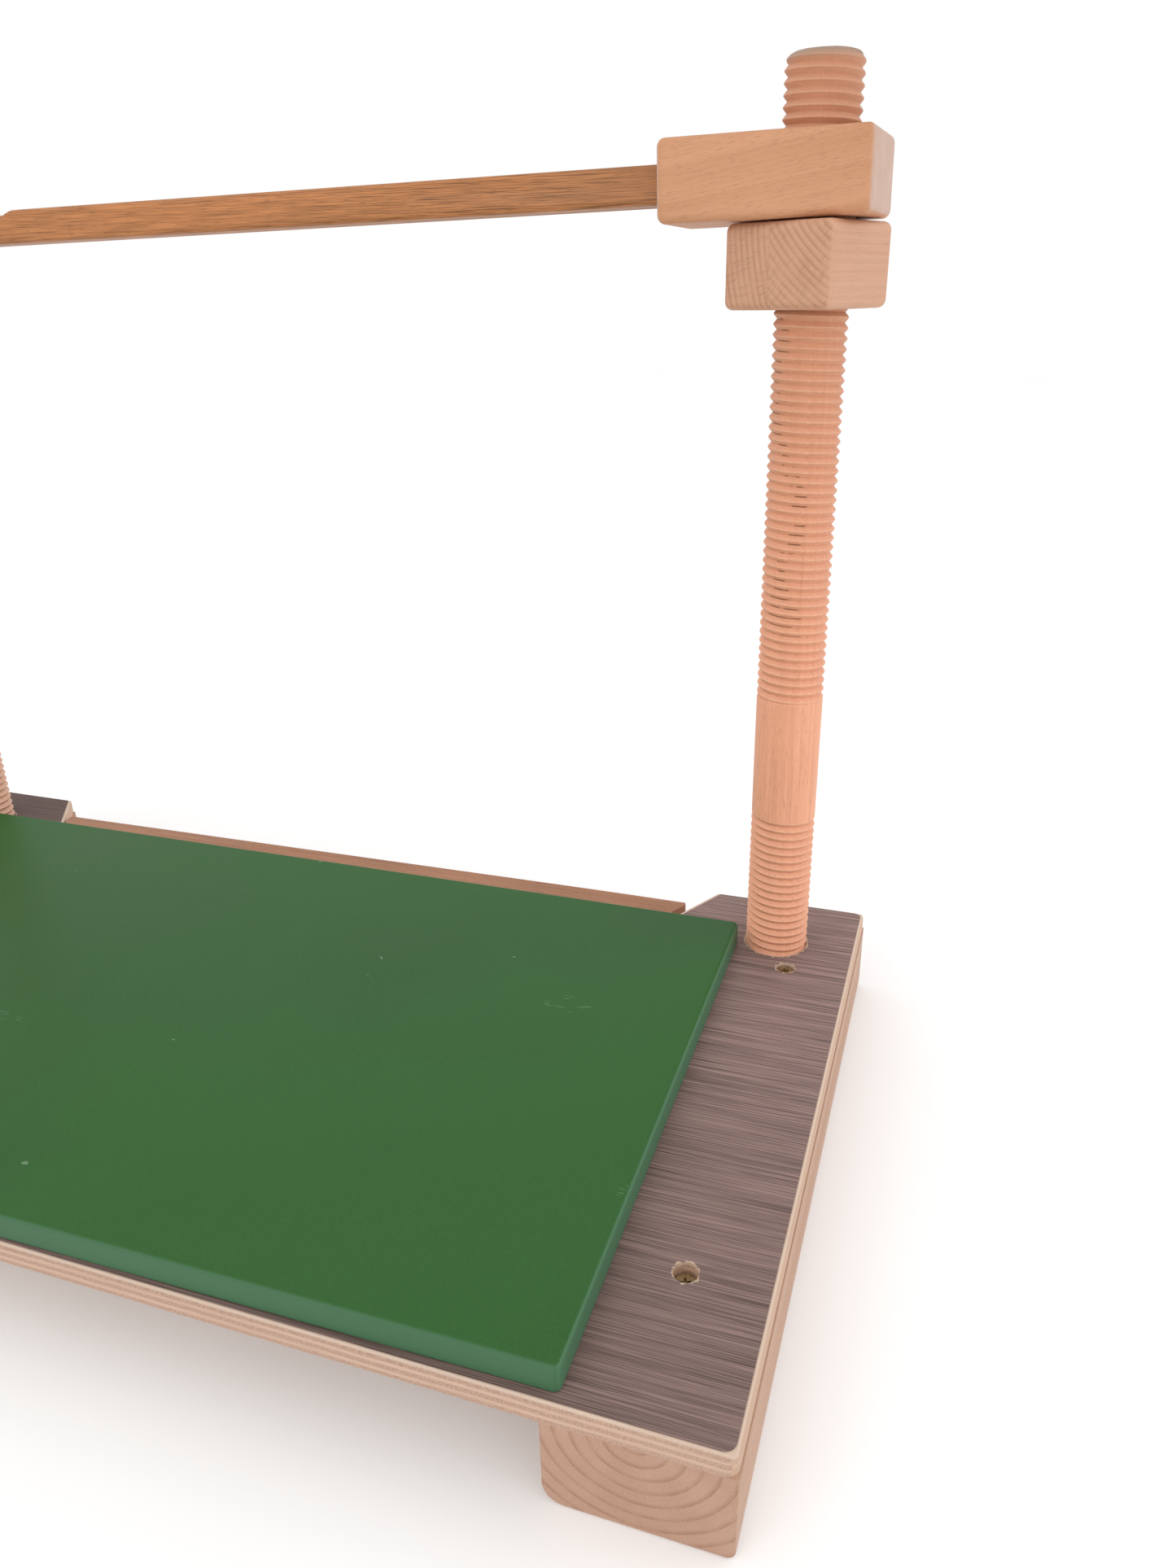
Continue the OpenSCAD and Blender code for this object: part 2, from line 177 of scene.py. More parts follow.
def deselect():
    """Leaves edit mode with nothing selected."""
    if bpy.context.object and bpy.context.object.mode != "OBJECT":
        bpy.ops.object.mode_set(mode="OBJECT")
    bpy.ops.object.select_all(action="DESELECT")


def pick(obj):
    """Makes obj the only selected object, and the active one."""
    deselect()
    obj.select_set(True)
    bpy.context.view_layer.objects.active = obj


def settle(obj):
    """Moves an object's place, turn and size into its mesh."""
    pick(obj)
    bpy.ops.object.transform_apply(location=True, rotation=True, scale=True)
    return obj


def block(name, low, high):
    """A box between two corners."""
    deselect()
    low, high = Vector(low), Vector(high)
    bpy.ops.mesh.primitive_cube_add(size=1, location=(low + high) / 2, scale=high - low)
    obj = bpy.context.object
    obj.name = name
    return settle(obj)


def rod(name, foot, radius, length, sides=64):
    """An upright cylinder that stands on foot."""
    deselect()
    place = Vector(foot) + Vector((0, 0, length / 2))
    bpy.ops.mesh.primitive_cylinder_add(vertices=sides, radius=radius, depth=length, location=place)
    obj = bpy.context.object
    obj.name = name
    return settle(obj)


def edit(obj, what="EDGE"):
    """Opens obj in edit mode with nothing selected, and returns its mesh for selecting."""
    pick(obj)
    bpy.ops.object.mode_set(mode="EDIT")
    bpy.ops.mesh.select_mode(type=what)
    bpy.ops.mesh.select_all(action="DESELECT")
    return bmesh.from_edit_mesh(obj.data)


def done(obj):
    """Closes edit mode."""
    bpy.ops.object.mode_set(mode="OBJECT")
    return obj


def select_edges(obj, wanted):
    """Selects the edges for which wanted(first end, second end) holds, and returns how many."""
    mesh = edit(obj)
    count = 0
    for e in mesh.edges:
        if wanted(e.verts[0].co, e.verts[1].co):
            e.select = True
            count += 1
    mesh.select_flush_mode()
    bmesh.update_edit_mesh(obj.data)
    if not count:
        raise RuntimeError("no edge to work on in " + obj.name)
    return count


def round_edges(obj, wanted, radius, steps=5):
    """Rounds the wanted edges."""
    select_edges(obj, wanted)
    bpy.ops.mesh.bevel(offset=radius, segments=steps, profile=0.5, affect="EDGES", clamp_overlap=True)
    return done(obj)


def modify(obj, kind, **settings):
    """Adds a modifier, sets it and applies it."""
    pick(obj)
    mod = obj.modifiers.new(kind.title(), kind)
    for key, value in settings.items():
        setattr(mod, key, value)
    bpy.ops.object.modifier_apply(modifier=mod.name)
    return obj


def cut(obj, tool, operation="DIFFERENCE"):
    """Cuts obj with another solid, which is used up."""
    modify(obj, "BOOLEAN", operation=operation, object=tool, solver="EXACT")
    bpy.data.objects.remove(tool, do_unlink=True)
    return obj


def turned(obj, angle, about, axis="Z"):
    """Turns obj's mesh about a point."""
    pick(obj)
    about = Vector(about)
    turn = Matrix.Rotation(angle, 4, axis)
    obj.data.transform(Matrix.Translation(about) @ turn @ Matrix.Translation(-about))
    return obj


def copy_of(obj, name):
    """A copy with its own mesh."""
    twin = obj.copy()
    twin.data = obj.data.copy()
    twin.name = name
    bpy.context.collection.objects.link(twin)
    return twin


def smooth(obj, degrees=35):
    """Smooth shading across rounded edges, with the flats kept flat."""
    pick(obj)
    bpy.ops.object.shade_smooth_by_angle(angle=radians(degrees))
    return modify(obj, "WEIGHTED_NORMAL", keep_sharp=True, weight=50)


def hand_over(obj, body, material, slot, *nodes):
    """Gives a finished piece its material and its body, and hides the CAD nodes that it stands for."""
    obj.data.materials.clear()
    obj.data.materials.append(material)
    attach(obj, body)
    if nodes:
        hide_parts(*nodes)
    return obj


def dress(node, material):
    """Gives a CAD node a better material."""
    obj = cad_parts[node]
    obj.data.materials.clear()
    obj.data.materials.append(material)
    for face in obj.data.polygons:
        face.material_index = 0


# ---- Finishes ----

class Finish:
    """A material under construction."""

    def __init__(self, name):
        self.material = bpy.data.materials.new(name)
        self.material.use_nodes = True
        self.tree = self.material.node_tree
        self.tree.nodes.clear()
        self.skin = self.add("BsdfPrincipled")
        out = self.add("OutputMaterial")
        self.tree.links.new(self.skin.outputs[0], out.inputs[0])
        texture = self.add("TexCoord")
        self.place = texture.outputs["Object"]
        self.facing = texture.outputs["Normal"]

    def add(self, kind, inputs=(), **settings):
        node = self.tree.nodes.new("ShaderNode" + kind)
        for key, value in settings.items():
            setattr(node, key, value)
        for key, value in dict(inputs).items():
            self.put(node.inputs[key], value)
        return node

    def put(self, socket, value):
        if isinstance(value, bpy.types.NodeSocket):
            self.tree.links.new(value, socket)
        elif socket.type == "RGBA" and len(value) == 3:
            socket.default_value = (*value, 1)
        else:
            socket.default_value = value

    def math(self, kind, a, b=0.0):
        node = self.add("Math", operation=kind)
        self.put(node.inputs[0], a)
        self.put(node.inputs[1], b)
        return node.outputs[0]

    def plus(self, a, b):
        return self.math("ADD", a, b)

    def minus(self, a, b):
        return self.math("SUBTRACT", a, b)

    def times(self, a, b):
        return self.math("MULTIPLY", a, b)

    def lay(self, place, scale=(1, 1, 1), turn=(0, 0, 0), shift=(0, 0, 0)):
        """Stretches, turns, then shifts a pattern's coordinates."""
        return self.add("Mapping", {"Vector": place, "Scale": scale, "Rotation": turn,
                                    "Location": shift}).outputs[0]

    def noise(self, place, scale, detail=2.0, rough=0.5):
        return self.add("TexNoise", {"Vector": place, "Scale": scale, "Detail": detail,
                                     "Roughness": rough}).outputs["Fac"]

    def fade(self, value, start, end, low=0.0, high=1.0):
        """Runs smoothly from low to high as value goes from start to end."""
        return self.add("MapRange", {"Value": value, "From Min": start, "From Max": end, "To Min": low,
                                     "To Max": high}, interpolation_type="SMOOTHSTEP").outputs[0]

    def blend(self, amount, first, second):
        node = self.add("Mix", data_type="RGBA")
        self.put(node.inputs["Factor"], amount)
        self.put(node.inputs[6], first)
        self.put(node.inputs[7], second)
        return node.outputs[2]

    def axis(self, place, which):
        return self.add("SeparateXYZ", {"Vector": place}).outputs[which]

    def along(self, direction, vector):
        """Size of the component of vector in a direction."""
        dot = self.add("VectorMath", operation="DOT_PRODUCT")
        self.put(dot.inputs[0], vector)
        self.put(dot.inputs[1], direction)
        return self.math("ABSOLUTE", dot.outputs["Value"])

    def finish(self, colour, roughness, height=None, depth=0.0002, strength=0.5, specular=0.4):
        self.put(self.skin.inputs["Base Color"], colour)
        self.put(self.skin.inputs["Roughness"], roughness)
        self.skin.inputs["Specular IOR Level"].default_value = specular
        if height is not None:
            bump = self.add("Bump", {"Height": height, "Distance": depth, "Strength": strength})
            self.put(self.skin.inputs["Normal"], bump.outputs[0])
        return self.material


TURN_TO_X = {"X": (0, 0, 0), "Y": (0, 0, -pi / 2), "Z": (0, pi / 2, 0)}
DIRECTION = {"X": (1, 0, 0), "Y": (0, 1, 0), "Z": (0, 0, 1)}


def wood(name, grain, heart, light, dark, ring=4 * MM, side_rings=0.25, end_rings=0.6,
         late_from=0.25, fleck=0.3, fleck_size=1.0, streak=0.3, streak_depth=0.8, streak_size=1.0,
         tone=0.2, end_tone=(0.5, 0.28, 0.17), end_amount=0.3, rays=0.2, rough=0.55,
         tilt=(0, 0, 0), add=None):
    """Solid wood: growth rings round a heart line, with streaks and short flecks along the grain.

    The grain runs along the axis named grain, then tilted. The heart line goes through heart.
    Amounts such as fleck, streak, tone and rays say how strongly each mark shows, from 0 to 1."""
    f = Finish(name)
    aim = Euler(tilt).to_matrix()
    turn = Euler(TURN_TO_X[grain]).to_matrix() @ aim.transposed()
    local = f.lay(f.place, turn=turn.to_euler(), shift=-(turn @ Vector(heart)))
    wander = f.add("TexNoise", {"Vector": f.lay(local, scale=(0.2, 1, 1)), "Scale": 26.0, "Detail": 2.0})
    drift = f.add("VectorMath", operation="MULTIPLY_ADD")
    f.put(drift.inputs[0], wander.outputs["Color"])
    drift.inputs[1].default_value = (0.0, 2.4 * MM, 2.4 * MM)
    f.put(drift.inputs[2], local)
    rings = f.add("TexWave", {"Vector": drift.outputs[0], "Scale": 2 * pi / (20 * ring), "Distortion": 0.5,
                              "Detail": 2.0, "Detail Scale": 40.0}, wave_type="RINGS", rings_direction="X",
                  wave_profile="SAW").outputs["Fac"]
    end = f.fade(f.along(tuple(aim @ Vector(DIRECTION[grain])), f.facing), 0.55, 0.85)
    year = f.noise(f.lay(local, scale=(0.1, 1, 1)), 120.0, 1.0)
    late = f.times(f.fade(rings, late_from, 1.0), f.fade(year, 0.3, 0.65, 0.45, 1.0))
    streaks = f.noise(f.lay(local, scale=(0.012, 1, 1)), 1500.0 / streak_size, 3.0, 0.65)
    broad = f.noise(f.lay(local, scale=(0.06, 1, 1)), 70.0, 2.0)
    dashes = f.noise(f.lay(local, scale=(0.07, 1, 1)), 2600.0 / fleck_size, 1.0, 0.4)
    flecks = f.fade(dashes, 0.62, 0.7)
    hue = f.noise(f.place, 13.0, 2.0)
    y, z = f.axis(local, 1), f.axis(local, 2)
    bearing = f.times(f.math("ARCTAN2", y, z), 0.05)
    ray_place = f.add("CombineXYZ", {"X": bearing, "Y": f.times(y, 0.05), "Z": f.times(z, 0.05)})
    ray = f.fade(f.noise(ray_place.outputs[0], 2600.0, 1.0), 0.55, 0.68)

    colour = f.blend(f.times(late, f.fade(end, 0.0, 1.0, side_rings, end_rings)), light, dark)
    colour = f.blend(f.fade(streaks, 0.44, 0.66, 0.0, streak), colour, shade(dark, streak_depth))
    colour = f.blend(f.fade(streaks, 0.44, 0.3, 0.0, 0.7 * streak), colour, shade(light, 1.2))
    colour = f.blend(f.fade(broad, 0.35, 0.7, 0.0, tone), colour, dark)
    colour = f.blend(f.fade(hue, 0.4, 0.65, 0.0, 0.2), colour, shade(light, 1.12))
    colour = f.blend(f.times(flecks, f.fade(end, 0.0, 1.0, fleck, 0.1)), colour, shade(dark, 0.5))
    colour = f.blend(f.times(end, end_amount), colour, end_tone)
    colour = f.blend(f.times(f.times(ray, end), rays), colour, shade(dark, 0.75))
    pores = f.fade(f.noise(f.place, 3200.0, 1.0), 0.56, 0.7)
    colour = f.blend(f.times(f.times(pores, end), 0.2), colour, shade(dark, 0.6))
    if add:
        colour = add(f, colour)
    sunk = f.plus(flecks, f.times(late, 0.2))
    height = f.minus(f.times(streaks, 0.5), sunk)
    roughness = f.fade(broad, 0.3, 0.7, rough - 0.06, rough + 0.08)
    return f.finish(colour, roughness, height, depth=0.08 * MM, strength=0.4, specular=0.3)


def shade(colour, factor):
    """A lighter or darker version of a colour."""
    return tuple(min(1.0, factor * c) for c in colour)


def thread_marks(side):
    """Marks on a post: painted shade under each crest and in the roots, a painted highlight on the crests,
    tears, painted shade towards the top and a greyer top.
    """
    s = bpy.context.scene.sewing_frame_sizes
    crest_shade_line, root_shade, crest_highlight = (0.34, 0.16, 0.085), (0.36, 0.18, 0.1), (0.8, 0.52, 0.36)
    torn_fibre, top_shade_colour, grey_top = (0.1, 0.035, 0.015), (0.42, 0.2, 0.11), (0.3, 0.22, 0.165)
    tears_from, tears_lean_from = 0.2, 0.27     # heights at which the tears start and start to drift round
    tears_bearing, tears_lean = -1.75, 10.0     # radians, and radians for each metre

    def add(f, colour):
        x, y, z = (f.axis(f.place, i) for i in range(3))
        plain_low, plain_high = BASE_TOP + s.short_thread_end, BASE_TOP + s.long_thread_start
        bearing = f.math("ARCTAN2", f.minus(y, POST[side].y), f.minus(x, POST[side].x))
        rise = f.math("DIVIDE", f.minus(z, BASE_TOP + s.crest_at), s.thread_pitch)
        turns = f.plus(rise, f.math("DIVIDE", bearing, 2 * pi))
        plain = f.times(f.fade(z, plain_low, plain_low + 0.5 * MM),
                        f.fade(z, plain_high, plain_high - 0.5 * MM))
        cut_zone = f.minus(1.0, plain)
        patchy = f.noise(f.lay(f.place, scale=(1, 1, 0.35)), 120.0, 2.0)
        # Painted shade in a fine line under each crest and in the roots, and a painted highlight on each
        # crest.
        below_crest = f.fade(f.math("PINGPONG", f.plus(turns, 0.12), 0.5), 0.07, 0.0)
        root = f.fade(f.math("PINGPONG", f.plus(turns, 0.5), 0.5), 0.1, 0.02)
        crest = f.fade(f.math("PINGPONG", turns, 0.5), 0.09, 0.02)
        line = f.times(below_crest, f.fade(patchy, 0.35, 0.7, 0.05, 0.5))
        colour = f.blend(f.times(line, cut_zone), colour, crest_shade_line)
        colour = f.blend(f.times(f.times(root, 0.15), cut_zone), colour, root_shade)
        colour = f.blend(f.times(f.times(crest, 0.35), cut_zone), colour, crest_highlight)
        higher = f.math("MAXIMUM", f.minus(z, tears_lean_from), 0.0)
        against = f.minus(tears_bearing, f.times(higher, tears_lean))
        sway = f.fade(f.noise(f.lay(f.place, scale=(1, 1, 0.5)), 60.0, 1.0), 0.2, 0.8, -0.45, 0.45)
        off_side = f.math("ABSOLUTE", f.plus(f.minus(bearing, against), sway))
        torn_side = f.fade(off_side, 0.36, 0.22)
        torn_side = f.times(torn_side, f.fade(z, tears_from, tears_from + 35 * MM))
        torn_length = f.fade(f.noise(f.lay(f.place, scale=(1, 1, 1.8)), 200.0, 1.0), 0.42, 0.5)
        tear = f.fade(f.math("PINGPONG", f.plus(turns, 0.42), 0.5), 0.11, 0.05)
        tears = f.times(f.times(tear, torn_side), f.times(torn_length, cut_zone))
        colour = f.blend(f.times(tears, 0.85), colour, torn_fibre)
        # Painted shade: the post darkens over its upper 300 mm.
        shade_towards_top = f.fade(z, POST_TOP - 300 * MM, POST_TOP)
        colour = f.blend(f.times(shade_towards_top, 0.6), colour, top_shade_colour)
        top = f.fade(z, POST_TOP - 5 * MM, POST_TOP - 1 * MM)
        return f.blend(f.times(top, 0.75), colour, grey_top)
    return add


def post_wood(side):
    """Beech of a post, greyer on the left one."""
    c = bpy.context.scene.sewing_frame_colours
    light, dark = tuple(c.beech), tuple(c.beech_dark)
    if side == "left":
        light, dark = GREY_BEECH, GREY_BEECH_DARK
    return wood("beech_post_" + side, "Z", POST[side] + Vector((0.03, 0.045, 0)), light, dark,
                ring=3.6 * MM, side_rings=0.3, fleck=0.3, end_tone=(0.42, 0.27, 0.19),
                end_amount=0.6, tone=0.15, rough=0.5, rays=0.0, add=thread_marks(side))


def bar_stain(f, colour):
    """Darkens the crossbar near its right arm, and in a few smudges."""
    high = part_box("crossbar")[1]
    x = f.axis(f.place, 0)
    patchy = f.noise(f.lay(f.place, scale=(0.15, 1, 1)), 60.0, 3.0)
    near_arm = f.fade(f.plus(x, f.fade(patchy, 0.3, 0.7, -0.05, 0.05)), high.x - 0.13, high.x - 0.04)
    colour = f.blend(f.times(near_arm, 0.3), colour, (0.25, 0.13, 0.07))
    smudge = f.fade(f.noise(f.lay(f.place, scale=(0.3, 1, 1)), 90.0, 2.0), 0.55, 0.7)
    return f.blend(f.times(smudge, 0.15), colour, (0.22, 0.09, 0.035))


def ply_edge():
    """Plywood: layers that run by turns along and across the edge, with a painted highlight along its eased
    top.
    """
    f = Finish("plywood")
    low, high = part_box("base_board")
    z = f.axis(f.place, 2)
    across = f.fade(f.along((1, 0, 0), f.facing), 0.4, 0.6)
    wobble = f.noise(f.lay(f.place, scale=(0.3, 0.3, 1)), 60.0, 2.0)
    ply = (high.z - low.z) / 5
    layer = f.plus(f.math("DIVIDE", f.minus(z, low.z), ply), f.fade(wobble, 0.0, 1.0, -0.2, 0.2))
    odd = f.fade(f.math("PINGPONG", f.plus(layer, 0.5), 1.0), 0.4, 0.6)
    crossed = f.math("ABSOLUTE", f.minus(odd, across))
    long_lines = f.noise(f.lay(f.place, scale=(0.015, 0.015, 1)), 2200.0, 3.0, 0.65)
    dots = f.noise(f.lay(f.place, scale=(1, 1, 0.5)), 1700.0, 2.0, 0.6)
    pale = f.blend(f.fade(long_lines, 0.35, 0.7), (0.62, 0.43, 0.325), (0.5, 0.33, 0.245))
    dark = f.blend(f.fade(dots, 0.35, 0.65), (0.52, 0.345, 0.26), (0.4, 0.25, 0.18))
    colour = f.blend(crossed, pale, dark)
    line = f.times(f.fade(f.math("PINGPONG", layer, 0.5), 0.09, 0.0), f.fade(layer, 0.4, 0.6))
    colour = f.blend(f.times(line, 0.4), colour, (0.33, 0.19, 0.125))
    colour = f.blend(f.times(across, 0.65), colour, (0.6, 0.4, 0.28))
    # Painted highlight: a pale band along the top of the edge, where its rounding catches the light.
    top = f.fade(z, high.z - 0.9 * MM, high.z - 0.4 * MM)
    grime = f.noise(f.place, 38.0, 3.0)
    colour = f.blend(f.times(top, 0.7), colour, (0.7, 0.56, 0.45))
    colour = f.blend(f.fade(grime, 0.45, 0.75, 0.0, 0.2), colour, (0.5, 0.34, 0.25))
    height = f.plus(f.times(long_lines, 0.5), f.times(dots, 0.5))
    return f.finish(colour, 0.62, height, depth=0.1 * MM, strength=0.4, specular=0.3)


def printed_film():
    """The base's film: a fine printed grain from side to side, torn pale round its holes.

    It is darkened towards the front by painted shade, and is darker on the ear by the left post."""
    c = bpy.context.scene.sewing_frame_colours
    f = Finish("printed_film")
    hair = f.noise(f.lay(f.place, scale=(0.006, 1, 1)), 3000.0, 2.0, 0.6)
    glint = f.noise(f.lay(f.place, scale=(0.008, 1, 1), shift=(0.3, 0.1, 0)), 2300.0, 1.0, 0.5)
    lines = f.noise(f.lay(f.place, scale=(0.006, 1, 1)), 1800.0, 4.0, 0.75)
    bands = f.noise(f.lay(f.place, scale=(0.12, 1, 1)), 70.0, 2.0)
    base = tuple(c.film)
    colour = f.blend(f.fade(lines, 0.36, 0.64), shade(base, 0.5), shade(base, 1.62))
    colour = f.blend(f.fade(hair, 0.53, 0.63, 0.0, 0.95), colour, shade(base, 0.3))
    colour = f.blend(f.fade(glint, 0.62, 0.72, 0.0, 0.5), colour, shade(base, 1.9))
    colour = f.blend(f.fade(bands, 0.4, 0.65, 0.0, 0.18), colour, shade(base, 1.35))
    x, y = f.axis(f.place, 0), f.axis(f.place, 1)
    # Painted shade: the film is darkened towards the front.
    depth = f.fade(y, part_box("base_film")[0].y, 0.1, 0.36, 0.0)
    colour = f.blend(depth, colour, shade(base, 0.4))
    left_ear = f.times(f.fade(x, -0.19, -0.225), f.fade(y, 0.1, 0.13))
    colour = f.blend(f.times(left_ear, 0.75), colour, shade(base, 0.3))
    ragged = f.fade(f.noise(f.place, 520.0, 3.0), 0.3, 0.7, -0.7 * MM, 0.7 * MM)
    torn = 0.0
    for centre, radius in torn_holes():
        dx, dy = f.minus(x, centre.x), f.minus(y, centre.y)
        away = f.math("SQRT", f.plus(f.times(dx, dx), f.times(dy, dy)))
        rim = f.fade(f.plus(away, ragged), radius + 0.25 * MM, radius - 0.15 * MM)
        torn = f.math("MAXIMUM", torn, rim)
    colour = f.blend(torn, colour, (0.52, 0.38, 0.27))
    height = f.plus(lines, f.times(hair, -0.8))
    return f.finish(colour, f.fade(lines, 0.3, 0.7, 0.52, 0.64), height, depth=0.1 * MM, strength=0.35,
                    specular=0.14)


def torn_holes():
    """Centre and torn radius of each hole in the film."""
    holes = []
    for side in ("right", "left"):
        low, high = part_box("screws_" + side)
        r = (high.x - low.x) / 2
        x = (low.x + high.x) / 2
        holes.append((POST[side], POST_R + 0.8 * MM))
        holes += [(Vector((x, low.y + r, 0)), r + 1.0 * MM), (Vector((x, high.y - r, 0)), r + 1.0 * MM)]
    return holes


def green_coat():
    """The sewing board's green coating: satin, a little mottled, lighter on the edges and ends by painted
    sheen.

    It has a few light scratches and dots on top."""
    c = bpy.context.scene.sewing_frame_colours
    f = Finish("green_coat")
    base = tuple(c.board)
    mottle = f.noise(f.place, 7.0, 3.0)
    speck = f.noise(f.place, 900.0, 2.0)
    # Painted sheen: the sides are lightened by the way they face, and the ends more.
    edge = f.fade(f.axis(f.facing, 2), 0.93, 0.5)
    end = f.fade(f.along((1, 0, 0), f.facing), 0.5, 0.8)
    colour = f.blend(f.fade(mottle, 0.35, 0.65), shade(base, 0.93), shade(base, 1.08))
    colour = f.blend(f.fade(speck, 0.4, 0.65, 0.0, 0.2), colour, shade(base, 1.5))
    colour = f.blend(f.times(edge, 0.75), colour, tuple(c.board_edge_sheen))
    colour = f.blend(f.times(end, 0.3), colour, shade(c.board_edge_sheen, 1.8))
    scratch = f.noise(f.lay(f.place, scale=(0.06, 1, 1), turn=(0, 0, 0.7)), 1600.0, 1.0)
    rare = f.fade(f.noise(f.place, 26.0, 0.0), 0.8, 0.83)
    flat = f.minus(1.0, edge)
    scratches = f.times(f.times(f.fade(scratch, 0.66, 0.7), rare), flat)
    dot = f.fade(f.noise(f.lay(f.place, shift=(3, 1, 0)), 200.0, 0.0), 0.89, 0.9)
    dot = f.times(dot, flat)
    colour = f.blend(f.times(f.math("MAXIMUM", scratches, dot), 0.4), colour, (0.3, 0.42, 0.28))
    height = f.plus(speck, f.times(scratches, -1.0))
    return f.finish(colour, f.fade(mottle, 0.3, 0.7, 0.4, 0.5), height, depth=0.05 * MM, strength=0.25,
                    specular=0.16)


def zinc_plate():
    """Yellow zinc on the screws, with dull smears."""
    f = Finish("zinc_plate")
    smear = f.noise(f.place, 500.0, 3.0)
    colour = f.blend(f.fade(smear, 0.35, 0.65), (0.5, 0.39, 0.22), (0.24, 0.18, 0.11))
    f.skin.inputs["Metallic"].default_value = 0.85
    return f.finish(colour, f.fade(smear, 0.3, 0.7, 0.3, 0.5), smear, depth=0.05 * MM, strength=0.3)


# ---- Pieces ----

def polyline(name, points):
    """A chain of edges through points."""
    deselect()
    bpy.ops.mesh.primitive_plane_add(size=1, location=(0, 0, 0))
    obj = bpy.context.object
    obj.name = name
    mesh = edit(obj, "VERT")
    for v in list(mesh.verts)[1:]:
        v.select = True
    bmesh.update_edit_mesh(obj.data)
    bpy.ops.mesh.delete(type="VERT")
    mesh = bmesh.from_edit_mesh(obj.data)
    mesh.verts.ensure_lookup_table()
    mesh.verts[0].co = points[0]
    mesh.verts[0].select = True
    bmesh.update_edit_mesh(obj.data)
    for a, b in zip(points, points[1:]):
        step = Vector(b) - Vector(a)
        bpy.ops.mesh.extrude_region_move(TRANSFORM_OT_translate={"value": step})
    return done(obj)


def thread(name, low, high, radius, crest, pitch, depth):
    """A solid left-hand thread on the Z axis from low to high, with a crest on +X at height crest."""
    half = pitch / 2
    tip_half, crest_half, root_half, flank_shift = 0.1 * MM, 0.36 * MM, 0.24 * MM, 0.1 * MM
    tip_fall, crest_fall, root_rise = 0.01 * MM, 0.14 * MM, 0.12 * MM
    profile = [(-crest_half, crest_fall), (-tip_half, tip_fall), (tip_half, 0.0), (crest_half, crest_fall),
               (half / 2 + flank_shift, depth / 2), (half - root_half, depth - root_rise), (half, depth),
               (half + root_half, depth - root_rise), (1.5 * half - flank_shift, depth / 2)]
    turns = int((high - low) / pitch) + 4
    top = crest + pitch * (int((high - crest) / pitch) + 2)
    points = [(radius - d, 0, top - z) for z, d in profile]
    points.append((radius - profile[0][1], 0, top - profile[0][0] - pitch))
    obj = polyline(name, points)
    modify(obj, "SCREW", axis="Z", angle=2 * pi, screw_offset=-pitch, iterations=turns,
           steps=POST_SIDES, render_steps=POST_SIDES, use_merge_vertices=True,
           merge_threshold=0.01 * MM, use_smooth_shade=True)
    edit(obj, "VERT")
    bpy.ops.mesh.select_all(action="SELECT")
    bpy.ops.mesh.remove_doubles(threshold=0.01 * MM)
    bpy.ops.mesh.select_all(action="SELECT")
    bpy.ops.mesh.bisect(plane_co=(0, 0, high), plane_no=(0, 0, 1), clear_outer=True, use_fill=True)
    bpy.ops.mesh.select_all(action="SELECT")
    bpy.ops.mesh.bisect(plane_co=(0, 0, low), plane_no=(0, 0, -1), clear_outer=True, use_fill=True)
    bpy.ops.mesh.select_all(action="SELECT")
    bpy.ops.mesh.normals_make_consistent(inside=False)
    return done(obj)


def make_post(side):
    """One post: a left-hand thread from end to end, with a plain stretch and a domed top."""
    s = bpy.context.scene.sewing_frame_sizes
    here, foot = POST[side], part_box("post_" + side)[0].z
    post = thread(side + "_post", foot, POST_TOP, POST_R, BASE_TOP + s.crest_at, s.thread_pitch,
                  s.thread_depth)
    plain_low, plain_high = BASE_TOP + s.short_thread_end, BASE_TOP + s.long_thread_start
    plain_short = 0.06 * MM
    for v in post.data.vertices:
        reach = hypot(v.co.x, v.co.y)
        inside = min(v.co.z - plain_low, plain_high - v.co.z)
        plain = min(1.0, max(0.0, 1 + inside / THREAD_RUN_OUT))
        rise = max(0.0, v.co.z - (POST_TOP - s.dome))
        domed = POST_R - s.dome + (max(0.0, s.dome ** 2 - rise ** 2)) ** 0.5
        wanted = min(POST_R - (POST_R - reach) * (1 - plain) - plain_short * plain, domed)
        v.co.x, v.co.y = v.co.x * wanted / reach, v.co.y * wanted / reach
        v.co.z = min(POST_TOP, max(foot, v.co.z))
    post.data.transform(Matrix.Translation((here.x, here.y, 0)))
    smooth(post, 40)
    return hand_over(post, "base", post_wood(side), "post_beech", "post_" + side)


def bar_line_height():
    """Height of the crossbar's middle line at the right post."""
    return middle("arm_right").z + (POST["right"].x - middle("arm_right").x) * sin(SLANT)


